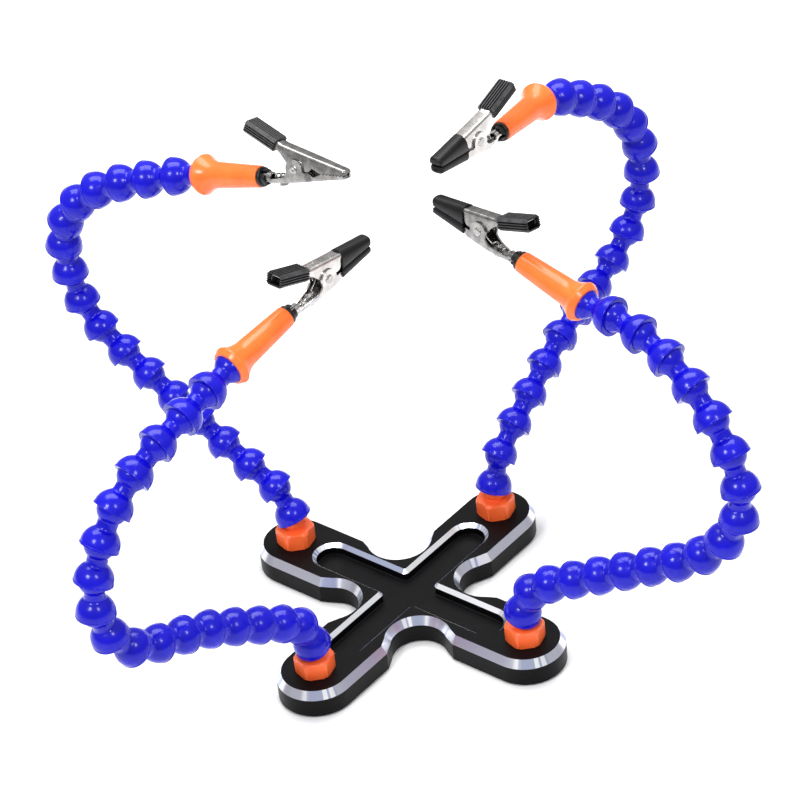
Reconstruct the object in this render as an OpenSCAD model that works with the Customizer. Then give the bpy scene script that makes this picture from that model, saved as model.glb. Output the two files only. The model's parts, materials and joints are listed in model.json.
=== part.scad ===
// Helping hands clamp: an X-shaped base plate that holds up four flexible ball-and-socket
// hoses, each with a nozzle and a sprung crocodile clip on its end.
// Frame: +Z up, origin on the bench under the middle of the base plate, millimetres.
// Hose a is far left, b near left, c far right and d near right.

/* [Base plate] */
// Side of the square that the four round lobes reach
base_span = 120; // [116:1:130]
// Height of the base plate's top face above the bench
base_top = 12.5; // [12:0.5:16]
// Half width of each arm of the X, which is also the radius of its round end
lobe_r = 16.5; // [16:0.5:18]
// Width of the bright bevel along the top outer edge
bevel_w = 2.2; // [1:0.1:2.4]
// Height of the bright bevel along the top outer edge
bevel_h = 3.5; // [1:0.5:4]
// Radius of the round notch between two arms, below the bevel
notch_r = 11.7; // [11:0.1:12]
// Distance of each notch's centre from the middle of the plate
notch_pos = 33.3; // [33:0.1:35]
// Angle at which each notch's straight sides open outwards
notch_flare = 20; // [16:1:24]
// Depth of the X-shaped recess
slot_depth = 5; // [3:0.5:6]
// Half width of the recess at its floor
slot_r = 7.2; // [5:0.1:7.5]
// Width of the bevel around the recess
slot_bevel = 1.6; // [0.5:0.1:1.8]
// Distance of the round end's centre of each recess arm from the middle of the plate
slot_reach = 41.3; // [36:0.1:42]

/* [Hose] */
// Outer diameter of a hose link at its rim
link_d = 15.8; // [15.6:0.1:16]
// Distance from the centre of a link's socket to the centre of its ball
pitch = 14.4; // [14.3:0.1:14.5]
// Radius of every ball
ball_r = 6.2; // [6.1:0.05:6.2]
// Radial gap between a ball and its socket
ball_gap = 0.1; // [0.05:0.05:0.1]
// Radius of the narrow neck between a link's skirt and its ball
neck_r = 4.1; // [3.8:0.1:4.2]
// Radius of the passage through every link
bore_r = 2.8; // [2:0.1:3]
// Width across the flats of the hexagonal connectors
hex_af = 15; // [14:0.5:16]
// Height of the connectors' hexagon above the base plate
hex_h = 8; // [7:0.5:8]

/* [Nozzle] */
// Length of a nozzle from the centre of its socket to its tip
nozzle_len = 31.5; // [28:0.5:34]
// Diameter of the nozzle's flared mouth
flare_d = 16.4; // [16:0.1:17]
// Diameter of the nozzle's tube next to the flare
tube_d = 10.6; // [10.2:0.1:11]
// Diameter of the nozzle's tip
tip_d = 8.8; // [8.6:0.1:9.2]

/* [Clip] */
// Distance from a clip's rivet to the tip of its jaws
jaw_len = 24; // [22:0.5:26]
// Width of the lower jaw over its ears
clip_w = 7.6; // [7.2:0.1:8]
// Width of both jaws at their tips
jaw_tip_w = 4.6; // [4:0.1:5]
// Thickness of the clip's sheet metal
sheet = 0.8; // [0.6:0.05:0.8]
// Angle to which the rubber jaw covers hold a clip's jaws open
cover_open = 6; // [5:0.5:7]
// Length of the handle sleeve
sleeve_len = 16; // [14:0.5:17]

/* [Hidden] */
$fn = 48;
eps = 0.01;
far = 200;

ARMS = ["a", "b", "c", "d"];
// Which side of the base each hose stands on, as signs of X and Y
POSTS = [[-1, 1], [-1, -1], [1, 1], [1, -1]];
// Clips with rubber jaw covers
COVERED = [1, 2, 3];
// First and last link of the four rigid stretches that each hose is posed in
STRETCHES = [[1, 4], [5, 8], [9, 13], [14, 18]];
LINK_COUNT = 18;

// The non-slip pad sits in a shallow recess and stands proud of it
pad_t = 1.5;
pad_sunk = 1;
pad_inset = 3.2;
plate_bottom = pad_t - pad_sunk;
plate_t = base_top - plate_bottom;

// Distance of each lobe's centre from the middle, along the diagonal and along X or Y
post_r = (base_span / 2 - lobe_r) * sqrt(2);
post_xy = base_span / 2 - lobe_r;

// Connector: threaded stub in a blind hole of the plate
stub_r = 4.8;
stub_len = 8;
stub_gap = 0.05;
neck_rise = 13.5;
ball_z = base_top + neck_rise;

// Link profile
link_r = link_d / 2;
socket_r = ball_r + ball_gap;
rim_drop = 1.35;
lip_h = 1;
lip_step = 0.15;
ball_flat = 5;

// Nozzle and bush
flare_h = 9;
flare_lip = 1.4;
mouth_step = 1.1;
bush_barrel_r = 3.25;
bush_barrel_len = 5;
bush_flange_r = 4;
bush_flange_t = 1.6;
bush_len = 3.6;
fit_gap = 0.05;

// Clip, in its own frame: X along the clip from the nozzle's tip, Z towards the handle
tail_r = 2.1;
tail_in = 4.6;
tail_out = 6;
pivot_z = 4;
ear_r = 4;
rivet_r = 1;
rivet_head_r = 1.8;
rivet_head_t = 0.5;
upper_w = 5.8;
upper_ear_r = 3.2;
jaw_slope = 19.3;
top_w = 7.3;
handle_low = 4.6;
handle_back = 25;
handle_bend = 11;
bend_x = -8.5;
// The lower jaw widens from its tail to its ears, and narrows again in front of them
ears_back = -6;
narrow_from = 5;
narrow_to = 7.5;
tooth_pitch = 1.6;
tooth_h = 0.5;
tooth_gap = 0.3;
throat_h = 1.8;
screw_x = -9;
screw_r = 1.2;
cover_t = 0.8;
cover_back = 8;
cover_nose = 1.2;
sleeve_back = 26.4;
sleeve_w = 8.2;
sleeve_top = 8.3;
sleeve_bottom = 2.8;

// Each hose's way from its ball on the base to the tip of its nozzle
ROUTES = [
    [[-50, 48, 41], [-60, 54, 50], [-90, 72, 82], [-115, 90, 110], [-122, 94, 138], [-118, 88, 163],
     [-103, 76, 181], [-81, 60, 192], [-57, 44, 200], [-38, 24, 208]],
    [[-48, -49, 41], [-56, -58, 50], [-84, -82, 72], [-112, -108, 90], [-122, -114, 116], [-114, -108, 146],
     [-97, -96, 165], [-75, -78, 175], [-54, -58, 181], [-32, -38, 183]],
    [[48, 47, 41], [56, 54, 50], [82, 80, 74], [110, 108, 90], [124, 118, 112], [126, 118, 140],
     [116, 108, 164], [98, 92, 182], [80, 74, 194], [62, 50, 198]],
    [[48, -49, 41], [56, -58, 50], [84, -84, 72], [110, -108, 94], [122, -118, 118], [120, -114, 144],
     [108, -96, 167], [92, -74, 179], [74, -52, 181], [57, -30, 188]]
];
// Direction of each nozzle: angle around Z from +X, and angle above the horizontal
NOZZLE_AIM = [[-42, 14], [41, 10], [-128, 6], [129, 12]];
// Direction of each clip, and how far it is rolled about its own axis
CLIP_AIM = [[-40, 14, -15], [42, 6, 0], [-133, 7, 0], [128, 8, 8]];
// Distance from each nozzle's tip to its clip's rivet
RIVET_OUT = [20, 22, 19, 21];

// ---- Routes -------------------------------------------------------------------------

// A smooth curve through the points, where t counts the points passed
function route_point(p, t) =
    let (i = min(floor(t), len(p) - 2), f = t - i,
         p0 = p[max(i - 1, 0)], p1 = p[i], p2 = p[i + 1], p3 = p[min(i + 2, len(p) - 1)])
    0.5 * (2 * p1 + (p2 - p0) * f + (2 * p0 - 5 * p1 + 4 * p2 - p3) * f * f
           + (3 * p1 - p0 - 3 * p2 + p3) * f * f * f);

// The place on the route, between lo and hi, that is one pitch away from a ball
function next_t(p, from, lo, hi, n) =
    let (mid = (lo + hi) / 2)
    n == 0 ? mid
    : norm(route_point(p, mid) - from) < pitch ? next_t(p, from, mid, hi, n - 1)
    : next_t(p, from, lo, mid, n - 1);

// Ball centres, one pitch apart, from place t on the route
function ball_chain(p, t, count) =
    let (here = route_point(p, t))
    count == 0 ? [here]
    : concat([here], ball_chain(p, next_t(p, here, t, min(t + 2, len(p) - 1), 26), count - 1));

function route(a) = concat([[POSTS[a][0] * post_xy, POSTS[a][1] * post_xy, ball_z]], ROUTES[a]);

// Ball centres of each hose: the first is the connector's, the last is inside the nozzle
BALLS = [for (a = [0:3]) ball_chain(route(a), 0, LINK_COUNT)];

function aim(az, el) = [cos(az) * cos(el), sin(az) * cos(el), sin(el)];
function nozzle_tip(a) = BALLS[a][LINK_COUNT] + nozzle_len * aim(NOZZLE_AIM[a][0], NOZZLE_AIM[a][1]);

// Stands its children's Z axis along the line from p to q
module along(p, q) {
    d = q - p;
    translate(p) rotate([0, acos(d[2] / norm(d)), atan2(d[1], d[0])]) children();
}

// Puts its children in the frame of nozzle a, Z along the nozzle from its socket
module in_nozzle_frame(a) {
    translate(BALLS[a][LINK_COUNT])
        rotate([0, 90 - NOZZLE_AIM[a][1], NOZZLE_AIM[a][0]]) children();
}

// Puts its children in the frame of clip a, with its rivet on the Y axis
module in_clip_frame(a) {
    translate(nozzle_tip(a))
        rotate([0, -CLIP_AIM[a][1], CLIP_AIM[a][0]])
            rotate([CLIP_AIM[a][2], 0, 0])
                translate([RIVET_OUT[a], 0, pivot_z]) children();
}

// Turns its children with the upper jaw: X along its top plate towards the tip
module in_upper_jaw_frame(a) {
    in_clip_frame(a) rotate([0, jaw_slope - rest_open(a), 0]) children();
}

// The same, bent up with the handle
module in_handle_frame(a) {
    in_upper_jaw_frame(a) translate([bend_x, 0, top_w]) rotate([0, handle_bend, 0])
        translate([-bend_x, 0, -top_w]) children();
}

function covered(a) = len(search(a, COVERED)) > 0;
function rest_open(a) = covered(a) ? cover_open : 0;

// ---- Base ---------------------------------------------------------------------------

// A bar with round ends along each diagonal
module cross_outline(reach, r) {
    for (turn = [45, 135]) rotate(turn) {
        square([2 * reach, 2 * r], center = true);
        for (side = [-1, 1]) translate([side * reach, 0]) circle(r);
    }
}

// A diagonal cross whose half width changes evenly from r0 at z0 to r1 at z1
module sloped_cross(reach, r0, z0, r1, z1) {
    section = [[-r0, z0], [r0, z0], [r1, z1], [-r1, z1]];
    for (turn = [45, 135]) rotate(turn) {
        rotate([90, 0, 90]) translate([0, 0, -reach]) linear_extrude(2 * reach) polygon(section);
        for (side = [-1, 1]) translate([side * reach, 0, z0]) cylinder(h = z1 - z0, r1 = r0, r2 = r1);
    }
}

// Half width of the opening next to a notch's round end: a hair less than its radius, so that
// its straight sides cross the round instead of grazing it
notch_side = 0.985;

// What is cut away between two arms: a round notch that opens outwards, seen from above
module notch_outline(r) {
    out = [cos(notch_flare), sin(notch_flare)];
    start = r * notch_side * [-sin(notch_flare), cos(notch_flare)];
    end = start + far * out;
    translate([notch_pos, 0]) {
        circle(r);
        polygon([start, end, [end[0], -end[1]], [start[0], -start[1]]]);
    }
}

// The bevel along the top edge of a notch
module notch_bevel(r) {
    above = 2;
    below = 0.5;
    z_foot = base_top - bevel_h - below;
    slope = bevel_w / bevel_h;
    r_foot = r - slope * below;
    r_top = r + slope * (bevel_h + above);
    wall = [[-1, z_foot], [r_foot * notch_side, z_foot], [r_top * notch_side, base_top + above],
            [-1, base_top + above]];
    translate([notch_pos, 0, 0]) {
        translate([0, 0, z_foot]) cylinder(h = bevel_h + above + below, r1 = r_foot, r2 = r_top);
        for (side = [0, 1]) mirror([0, side, 0])
            rotate(notch_flare) rotate([90, 0, 90]) linear_extrude(far) polygon(wall);
    }
}

// The plate's shape seen from above, drawn in by inset
module plate_outline(inset) {
    difference() {
        cross_outline(post_r, lobe_r - inset);
        for (turn = [0, 90, 180, 270]) rotate(turn) notch_outline(notch_r + inset);
    }
}

// Two crossed bars whose sides slope in above the bevel's foot, wider than the plate below it
module bevelled_cross() {
    below = 1;
    z_foot = base_top - bevel_h - below;
    r_foot = lobe_r + bevel_w / bevel_h * below;
    linear_extrude(z_foot + below / 2) cross_outline(post_r, r_foot);
    sloped_cross(post_r, r_foot, z_foot, lobe_r - bevel_w, base_top);
}

module base_plate() {
    pocket_z = base_top - slot_depth;
    above = 1;
    color([0.09, 0.09, 0.1]) difference() {
        intersection() {
            translate([0, 0, plate_bottom]) linear_extrude(plate_t) plate_outline(0);
            bevelled_cross();
        }
        for (turn = [0, 90, 180, 270]) rotate(turn) notch_bevel(notch_r);
        translate([0, 0, pocket_z])
            linear_extrude(slot_depth + above) cross_outline(slot_reach, slot_r);
        sloped_cross(slot_reach, slot_r, base_top - slot_bevel,
                     slot_r + slot_bevel + above, base_top + above);
        translate([0, 0, plate_bottom - above])
            linear_extrude(pad_sunk + above) plate_outline(pad_inset);
        for (post = POSTS)
            translate([post[0] * post_xy, post[1] * post_xy, base_top - stub_len - stub_gap])
                cylinder(h = stub_len + 1, r = stub_r + stub_gap);
    }
}

module base_pad() {
    color([0.13, 0.13, 0.13]) linear_extrude(pad_t - fit_gap) plate_outline(pad_inset + fit_gap);
}

// Hexagonal prism with its upper corners turned down
module hex_body() {
    corner_r = hex_af / sqrt(3);
    drop = 1.2;
    intersection() {
        cylinder(h = hex_h, r = corner_r, $fn = 6);
        union() {
            cylinder(h = hex_h - drop, r = corner_r);
            translate([0, 0, hex_h - drop])
                cylinder(h = drop, r1 = corner_r, r2 = hex_af / 2 - 0.3);
        }
    }
}

// A ball whose far side is cut flat, centred on the origin
module ball() {
    intersection() {
        sphere(ball_r);
        translate([0, 0, ball_flat - far / 2]) cube(far, center = true);
    }
}

module hose_connector() {
    difference() {
        union() {
            translate([0, 0, base_top]) hex_body();
            translate([0, 0, base_top - stub_len]) cylinder(h = stub_len + eps, r = stub_r);
            translate([0, 0, base_top + 1]) cylinder(h = neck_rise - 1, r = neck_r);
            translate([0, 0, ball_z]) ball();
        }
        cylinder(h = far, r = bore_r);
    }
}

module hose_connectors() {
    color([1, 0.4, 0.12])
        for (post = POSTS) translate([post[0] * post_xy, post[1] * post_xy, 0]) hose_connector();
}

// ---- Hose ---------------------------------------------------------------------------

// One link, Z from the centre of its socket to the centre of its ball
module link() {
    dome_r = link_r - lip_step;
    difference() {
        union() {
            intersection() {
                sphere(dome_r);
                translate([0, 0, -rim_drop]) cylinder(h = dome_r + rim_drop, r = link_r);
            }
            translate([0, 0, -rim_drop]) cylinder(h = lip_h, r = link_r);
            cylinder(h = pitch, r = neck_r);
            translate([0, 0, pitch]) ball();
        }
        sphere(socket_r);
        translate([0, 0, -far / 2]) cylinder(h = far, r = bore_r);
    }
}

module links(a, stretch) {
    color([0.08, 0.08, 0.85])
        for (k = [STRETCHES[stretch][0]:STRETCHES[stretch][1]])
            along(BALLS[a][k - 1], BALLS[a][k]) link();
}

module nozzle(a) {
    blend_steps = 10;
    flare_r = flare_d / 2;
    tube_r = tube_d / 2;
    // Radius at a share f of the way from the flare's lip to the tube
    flare = [for (i = [0:blend_steps])
        let (f = i / blend_steps)
        [tube_r + (flare_r - tube_r) * pow(1 - f, 1.8), flare_lip + (flare_h - flare_lip) * f]];
    outline = concat([[0, -rim_drop], [flare_r - mouth_step, -rim_drop], [flare_r, flare_lip - 0.6]], flare,
                     [[tip_d / 2, nozzle_len - 0.4], [tip_d / 2 - 0.4, nozzle_len], [0, nozzle_len]]);
    color([1, 0.5, 0.22]) in_nozzle_frame(a) difference() {
        rotate_extrude() polygon(outline);
        sphere(socket_r);
        translate([0, 0, -far / 2]) cylinder(h = far, r = bore_r);
        translate([0, 0, nozzle_len - bush_barrel_len - fit_gap])
            cylinder(h = bush_barrel_len + 1, r = bush_barrel_r + fit_gap);
    }
}

module bush(a) {
    color([0.07, 0.07, 0.07]) difference() {
        in_nozzle_frame(a) translate([0, 0, nozzle_len]) {
            translate([0, 0, -bush_barrel_len]) cylinder(h = bush_len + bush_barrel_len, r = bush_barrel_r);
            cylinder(h = bush_flange_t, r = bush_flange_r);
        }
        in_clip_frame(a) translate([-RIVET_OUT[a], 0, -pivot_z]) rotate([0, 90, 0])
            translate([0, 0, -far / 2]) cylinder(h = far, r = tail_r + fit_gap);
    }
}

// ---- Clip ---------------------------------------------------------------------------
// Every shape here is drawn round the rivet: X towards the jaws' tips, Z up.

// An outline in X and Z, given a width along Y
module side_plate(points, width) {
    rotate([90, 0, 0]) linear_extrude(width, center = true) polygon(points);
}

// Height of the line along which the closed jaws meet, which starts in front of the ears
meet_from = 4.6;
meet_back = -1.3;
meet_tip = -2.8;
function meet_z(x) = meet_back + (meet_tip - meet_back) * (x - meet_from) / (jaw_len - meet_from);

// Underside of the lower jaw, which rises from the tail to the tip
floor_from = -12;
floor_back = -pivot_z - tail_r;
floor_tip = -pivot_z - 0.3;
function floor_z(x) = floor_back + (floor_tip - floor_back) * (x - floor_from) / (jaw_len - floor_from);

// Edge of a jaw from the throat behind the teeth to the last tooth, shifted by lift
edge_from = 6.5;
throat_x = 8.5;
teeth_from = 12;
function toothed_edge(lift, throat) = concat(
    [[edge_from, meet_z(edge_from) + lift], [throat_x, meet_z(throat_x) + throat]],
    [for (x = [teeth_from:tooth_pitch:jaw_len - tooth_pitch], half = [0, 1])
        let (at = x + half * tooth_pitch / 2) [at, meet_z(at) + lift + (half - 0.5) * tooth_h]],
    [[jaw_len, meet_z(jaw_len) + lift - tooth_h / 2]]);

// The lower jaw seen from above, with its narrow tail
module lower_plan(rivet_out, inset) {
    half = clip_w / 2 - inset;
    tail = tail_r - inset;
    tip = jaw_tip_w / 2 - inset;
    x_tail = tail_out - rivet_out;
    narrow = upper_w / 2 - inset;
    polygon([[x_tail - 1, -tail], [x_tail, -tail], [ears_back, -half], [narrow_from, -half], [narrow_to, -narrow],
             [jaw_len, -tip], [jaw_len, tip], [narrow_to, narrow], [narrow_from, half],
             [ears_back, half], [x_tail, tail], [x_tail - 1, tail]]);
}

module lower_jaw(a) {
    x_tail = tail_out - RIVET_OUT[a];
    // The walls are low at the tail and climb to the ears
    wall_low = [-7, 0.6 - pivot_z];
    wall_high = [-3.6, -1.2];
    side = concat([[floor_from, floor_back], [x_tail - 1, floor_back], [x_tail - 1, -pivot_z - 0.6],
                   wall_low, wall_high, [0, 0], [meet_from, meet_back - tooth_gap / 2]],
                  toothed_edge(-tooth_gap / 2, -throat_h), [[jaw_len, floor_tip]]);
    color([0.75, 0.76, 0.78]) in_clip_frame(a) {
        difference() {
            union() {
                intersection() {
                    union() {
                        side_plate(side, clip_w);
                        rotate([90, 0, 0]) cylinder(h = clip_w, r = ear_r, center = true);
                    }
                    translate([0, 0, -far / 2]) linear_extrude(far) lower_plan(RIVET_OUT[a], 0);
                }
                translate([-RIVET_OUT[a] - tail_in, 0, -pivot_z]) rotate([0, 90, 0])
                    cylinder(h = tail_in + tail_out, r = tail_r);
            }
            // The open channel between the side walls
            intersection() {
                translate([0, 0, -far / 2]) linear_extrude(far) lower_plan(RIVET_OUT[a], sheet);
                side_plate([[x_tail - 1, -pivot_z], [floor_from, floor_back + sheet],
                            [jaw_len - sheet, floor_z(jaw_len - sheet) + sheet],
                            [jaw_len - sheet, far], [x_tail - 1, far]], clip_w);
            }
            translate([-RIVET_OUT[a] - tail_in - 1, 0, -pivot_z]) rotate([0, 90, 0])
                cylinder(h = tail_in + tail_out, r = tail_r - sheet);
            rotate([90, 0, 0]) cylinder(h = far, r = rivet_r + fit_gap, center = true);
            translate([screw_x, 0, -far / 2]) cylinder(h = far / 2, r = screw_r + fit_gap);
        }
    }
}

// The upper jaw's outline in its own frame, whose X runs along the top plate
function to_upper(x, z) = [x * cos(jaw_slope) - z * sin(jaw_slope),
                           x * sin(jaw_slope) + z * cos(jaw_slope)];

// The same frame, for points of the handle, which is bent up behind bend_x
function bent(x, z) = let (dx = x - bend_x, dz = z - top_w)
    [bend_x + dx * cos(handle_bend) + dz * sin(handle_bend),
     top_w - dx * sin(handle_bend) + dz * cos(handle_bend)];

module upper_jaw(a) {
    nose = 0.6;
    heel = 9.2;
    heel_foot = -3;
    roof = top_w - sheet;
    under = [for (p = toothed_edge(tooth_gap / 2, throat_h)) to_upper(p[0], p[1])];
    tip_x = under[len(under) - 1][0];
    outline = concat([bent(-handle_back, top_w), bent(-handle_back, handle_low), bent(-heel, handle_low),
                      [heel_foot, 0], [0, 0], to_upper(meet_from, meet_back + tooth_gap / 2)], under,
                     [[tip_x, top_w - nose], [tip_x - nose, top_w], [bend_x, top_w]]);
    color([0.75, 0.76, 0.78]) in_upper_jaw_frame(a) difference() {
        intersection() {
            union() {
                side_plate(outline, clip_w);
                rotate([90, 0, 0]) cylinder(h = clip_w, r = upper_ear_r, center = true);
            }
            translate([0, 0, -far / 2]) linear_extrude(far) upper_plan(0);
        }
        // The open channel below its top plate
        intersection() {
            translate([0, 0, -far / 2]) linear_extrude(far) upper_plan(sheet);
            side_plate([[-far, -far], [tip_x - sheet, -far], [tip_x - sheet, roof], [bend_x, roof],
                        bent(-2 * handle_back, roof)], clip_w);
        }
        rotate([90, 0, 0]) cylinder(h = far, r = rivet_r + fit_gap, center = true);
    }
}

// The upper jaw seen from above: it passes between the lower jaw's ears, then narrows
module upper_plan(inset) {
    half = upper_w / 2 - inset;
    tip = jaw_tip_w / 2 - inset;
    polygon([[-far, -half], [narrow_to, -half], [jaw_len, -tip], [jaw_len, tip], [narrow_to, half],
             [-far, half]]);
}

module jaw_rivet(a) {
    color([0.7, 0.7, 0.72]) in_clip_frame(a) rotate([90, 0, 0]) {
        cylinder(h = clip_w + 2 * rivet_head_t, r = rivet_r, center = true);
        for (side = [0, 1]) mirror([0, 0, side])
            translate([0, 0, clip_w / 2 + fit_gap]) cylinder(h = rivet_head_t, r1 = rivet_head_r, r2 = 1.2);
    }
}

// A torsion spring round the rivet: one leg lies under the handle, the other on the floor
module jaw_spring(a) {
    wire_r = 0.4;
    coil_r = 1.75;
    turns = 5;
    step = 2 * (wire_r - eps);
    side_y = (turns - 1) / 2 * step;
    slope = jaw_slope - rest_open(a);
    // Ends of the legs: the upper one in the upper jaw's frame, then turned into the clip's
    leg_y = 1.2;
    upper_end = [-9, 5.8];
    under_handle = [upper_end[0] * cos(slope) + upper_end[1] * sin(slope), -leg_y,
                    -upper_end[0] * sin(slope) + upper_end[1] * cos(slope)];
    floor_x = -6.6;
    on_floor = [floor_x, leg_y, floor_z(floor_x) + sheet + wire_r + 0.1];
    color([0.6, 0.6, 0.62]) in_clip_frame(a) {
        for (i = [0:turns - 1]) translate([0, i * step - side_y, 0]) rotate([90, 0, 0])
            rotate_extrude() translate([coil_r, 0]) circle(wire_r, $fn = 24);
        spring_leg([-0.9, -side_y, 1.5], under_handle, wire_r);
        spring_leg([-1.2, side_y, -1.27], on_floor, wire_r);
    }
}

module spring_leg(p, q, r) {
    along(p, q) cylinder(h = norm(q - p), r = r, $fn = 24);
}

module wire_screw(a) {
    head_r = 1.9;
    head_t = 1.1;
    shank = 2.6;
    slot_w = 0.5;
    head_z = floor_z(screw_x - head_r) - head_t - eps;
    color([0.72, 0.72, 0.74]) in_clip_frame(a) translate([screw_x, 0, head_z]) difference() {
        union() {
            cylinder(h = head_t, r = head_r);
            cylinder(h = head_t + shank, r = screw_r);
        }
        translate([-head_r - 1, -slot_w / 2, -1]) cube([2 * head_r + 2, slot_w, 1.5]);
    }
}

module handle_sleeve(a) {
    rib_r = 0.45;
    ribs = 6;
    side_margin = 0.7;
    height = sleeve_top - sleeve_bottom;
    rib_step = (sleeve_w - 2 * side_margin) / (ribs - 1);
    color([0.06, 0.06, 0.07]) in_handle_frame(a) difference() {
        union() {
            translate([-sleeve_back, -sleeve_w / 2, sleeve_bottom])
                cube([sleeve_len, sleeve_w, height - 0.25]);
            for (i = [0:ribs - 1])
                translate([-sleeve_back, (i - (ribs - 1) / 2) * rib_step, sleeve_top - rib_r])
                    rotate([0, 90, 0]) cylinder(h = sleeve_len, r = rib_r);
        }
        translate([-sleeve_back - 1, -upper_w / 2 - fit_gap, handle_low - fit_gap])
            cube([sleeve_len + 2, upper_w + 2 * fit_gap, top_w - handle_low + 2 * fit_gap]);
    }
}

// ---- Clips with covers --------------------------------------------------------------

// A jaw seen from above, grown all round by t, from x = back to nose past its tip
module cover_plan(t, back, nose) {
    narrowing = (upper_w - jaw_tip_w) / 2 / (jaw_len - narrow_to);
    at_back = upper_w / 2 - narrowing * (back - narrow_to) + t;
    at_tip = jaw_tip_w / 2 + t;
    polygon([[back, -at_back], [jaw_len + nose, -at_tip], [jaw_len + nose, at_tip], [back, at_back]]);
}

// The covers fill the wedge between the jaws, which meet on a plane half way up it
face_angle = cover_open / 2 - 0.25;
function face_point(x, side) = [x * cos(face_angle) - side * meet_z(x) * sin(face_angle),
                                side * x * sin(face_angle) + meet_z(x) * cos(face_angle)];

// A rubber shroud: the outer and inner outlines are seen from the side
module shroud(outer, inner) {
    difference() {
        intersection() {
            side_plate(outer, far);
            translate([0, 0, -far / 2]) linear_extrude(far) cover_plan(cover_t, cover_back, cover_nose);
        }
        intersection() {
            side_plate(inner, far);
            translate([0, 0, -far / 2]) linear_extrude(far) cover_plan(fit_gap, cover_back - 1, fit_gap);
        }
    }
}

module lower_cover(a) {
    nose_x = jaw_len + cover_nose;
    inside_x = jaw_len + fit_gap;
    hidden_x = cover_back - 1;
    tooth_top = (tooth_h - tooth_gap) / 2 + fit_gap;
    color([0.06, 0.06, 0.06]) in_clip_frame(a) shroud(
        [[cover_back, floor_z(cover_back) - cover_t], face_point(cover_back, 1), face_point(nose_x, 1),
         [nose_x, floor_z(nose_x) - cover_t]],
        [[hidden_x, floor_z(hidden_x) - fit_gap], [hidden_x, meet_z(hidden_x) + tooth_top],
         [inside_x, meet_z(inside_x) + tooth_top], [inside_x, floor_z(inside_x) - fit_gap]]);
}

module upper_cover(a) {
    nose_x = jaw_len + cover_nose;
    inside_x = jaw_len + fit_gap;
    hidden_x = cover_back - 2;
    tooth_top = (tooth_h - tooth_gap) / 2 + fit_gap;
    back_face = face_point(cover_back, -1);
    nose_face = face_point(nose_x, -1);
    inner_back = to_upper(hidden_x, meet_z(hidden_x) - tooth_top);
    inner_tip = to_upper(inside_x, meet_z(inside_x) - tooth_top);
    color([0.06, 0.06, 0.06]) in_upper_jaw_frame(a) shroud(
        [[cover_back, top_w + cover_t], to_upper(back_face[0], back_face[1]),
         to_upper(nose_face[0], nose_face[1]), [jaw_len + cover_nose, top_w + cover_t]],
        [[inner_back[0], top_w + fit_gap], inner_back, inner_tip, [inner_tip[0], top_w + fit_gap]]);
}

// ---- Nodes --------------------------------------------------------------------------

module part(name) {
    children();
}

part("base_plate") base_plate();
part("base_pad") base_pad();
part("hose_connectors") hose_connectors();
for (a = [0:3]) {
    for (s = [0:len(STRETCHES) - 1]) part(str("links_", ARMS[a], "_", s + 1)) links(a, s);
    part(str("nozzle_", ARMS[a])) nozzle(a);
    part(str("bush_", ARMS[a])) bush(a);
    part(str("lower_jaw_", ARMS[a])) lower_jaw(a);
    part(str("upper_jaw_", ARMS[a])) upper_jaw(a);
    part(str("jaw_rivet_", ARMS[a])) jaw_rivet(a);
    part(str("jaw_spring_", ARMS[a])) jaw_spring(a);
    part(str("wire_screw_", ARMS[a])) wire_screw(a);
    part(str("handle_sleeve_", ARMS[a])) handle_sleeve(a);
}
for (a = COVERED) {
    part(str("upper_cover_", ARMS[a])) upper_cover(a);
    part(str("lower_cover_", ARMS[a])) lower_cover(a);
}
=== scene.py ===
"""The looks of a helping hands clamp: an X-shaped base plate that holds up four ball-and-socket
hoses, each with a nozzle and a sprung crocodile clip. Shapes are drawn in millimetres, each in its
own frame, and mesh() turns them into metres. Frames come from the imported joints."""

import json
from math import acos, asin, atan2, cos, floor, pi, radians, sin, sqrt, tan

import bmesh
import bpy
from mathutils import Matrix, Vector
from mathutils.geometry import tessellate_polygon


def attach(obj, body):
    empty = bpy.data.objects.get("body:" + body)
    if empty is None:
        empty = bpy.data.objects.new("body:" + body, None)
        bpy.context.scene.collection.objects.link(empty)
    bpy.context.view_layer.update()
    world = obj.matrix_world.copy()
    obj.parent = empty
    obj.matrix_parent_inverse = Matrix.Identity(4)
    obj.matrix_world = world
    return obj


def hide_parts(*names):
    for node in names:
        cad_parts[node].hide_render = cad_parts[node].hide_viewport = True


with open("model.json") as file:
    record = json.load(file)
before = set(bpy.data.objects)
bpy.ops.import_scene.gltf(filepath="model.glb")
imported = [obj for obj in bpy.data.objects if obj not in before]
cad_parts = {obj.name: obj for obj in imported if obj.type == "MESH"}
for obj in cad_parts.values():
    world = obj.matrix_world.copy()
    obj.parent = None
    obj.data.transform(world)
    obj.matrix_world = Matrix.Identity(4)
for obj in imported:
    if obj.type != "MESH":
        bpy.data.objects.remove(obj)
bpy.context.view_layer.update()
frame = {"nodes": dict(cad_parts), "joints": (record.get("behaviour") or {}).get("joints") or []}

MM = 0.001
TAU = 2 * pi
ARMS = "abcd"
COVERED = "bcd"
STRETCHES = ((1, 4), (5, 8), (9, 13), (14, 18))
JOINTS = {joint["name"]: joint for joint in frame["joints"]}

# ---- Sizes shared with the CAD model, in millimetres --------------------------------------

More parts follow.
